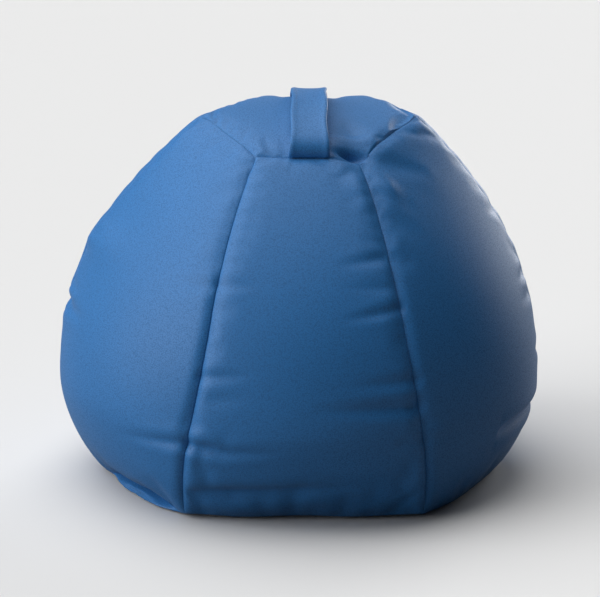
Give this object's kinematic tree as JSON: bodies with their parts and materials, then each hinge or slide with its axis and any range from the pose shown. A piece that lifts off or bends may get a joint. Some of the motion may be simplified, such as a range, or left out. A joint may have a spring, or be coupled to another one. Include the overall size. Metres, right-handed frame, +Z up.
{
  "type": "bean bag chair",
  "caption": "Round bean bag chair of tapered side panels with a hexagonal cap, a flat base with a hidden zip, and a carry strap arched over the cap.",
  "frame": {"origin": "on the floor under the middle of the bag", "axes": "+Z up, -Y towards the front, +X to the right as seen from the front; two opposite seams lie on the X axis and the carry handle runs along Y"},
  "size_m": [0.84, 0.8242, 0.692],
  "materials": {
    "cover_leatherette": "matte",
    "handle_leatherette": "matte",
    "liner_cloth": "matte",
    "webbing": "matte",
    "polystyrene_beads": "matte",
    "zip_tape": "matte",
    "zip_teeth": "satin",
    "zip_metal": "satin"
  },
  "bodies": {
    "cover": {"base_panel_back": "cover_leatherette", "base_panel_front": "cover_leatherette", "bead_filling": "polystyrene_beads", "cover_zip_bottom_stop": "zip_metal", "cover_zip_tape_back": "zip_tape", "cover_zip_tape_front": "zip_tape", "cover_zip_teeth_back": "zip_teeth", "cover_zip_teeth_front": "zip_teeth", "cover_zip_top_stops": "zip_metal", "handle_end_back": "handle_leatherette", "handle_end_front": "handle_leatherette", "liner_base_back": "liner_cloth", "liner_base_front": "liner_cloth", "liner_top": "liner_cloth", "liner_wall_back": "liner_cloth", "liner_wall_front": "liner_cloth", "liner_zip_bottom_stop": "zip_metal", "liner_zip_tape_back": "zip_tape", "liner_zip_tape_front": "zip_tape", "liner_zip_teeth_back": "zip_teeth", "liner_zip_teeth_front": "zip_teeth", "liner_zip_top_stops": "zip_metal", "side_panel_back": "cover_leatherette", "side_panel_back_left": "cover_leatherette", "side_panel_back_right": "cover_leatherette", "side_panel_front": "cover_leatherette", "side_panel_front_left": "cover_leatherette", "side_panel_front_right": "cover_leatherette", "top_cap": "cover_leatherette"},
    "carry_handle": {"handle_strap": "handle_leatherette", "handle_webbing": "webbing"},
    "cover_slider": {"cover_zip_slider": "zip_metal"},
    "cover_pull": {"cover_zip_pull": "zip_metal"},
    "liner_slider": {"liner_zip_slider": "zip_metal"}
  },
  "joints": [
    {"name": "handle_tilt", "type": "hinge", "parent": "cover", "child": "carry_handle", "pos_m": [0, 0, 0.632], "axis": [0, 1, 0], "range_deg": [-35, 35], "stiffness_Nm_per_rad": 0.1},
    {"name": "cover_zip_slide", "type": "slide", "parent": "cover", "child": "cover_slider", "axis": [-1, 0, 0], "range_m": [0, 0.4454]},
    {"name": "pull_swing", "type": "hinge", "parent": "cover_slider", "child": "cover_pull", "pos_m": [0.2279, 0, 0.0055], "axis": [0, -1, 0], "range_deg": [0, 170]},
    {"name": "liner_zip_slide", "type": "slide", "parent": "cover", "child": "liner_slider", "axis": [-1, 0, 0], "range_m": [0, 0.4454]}
  ]
}
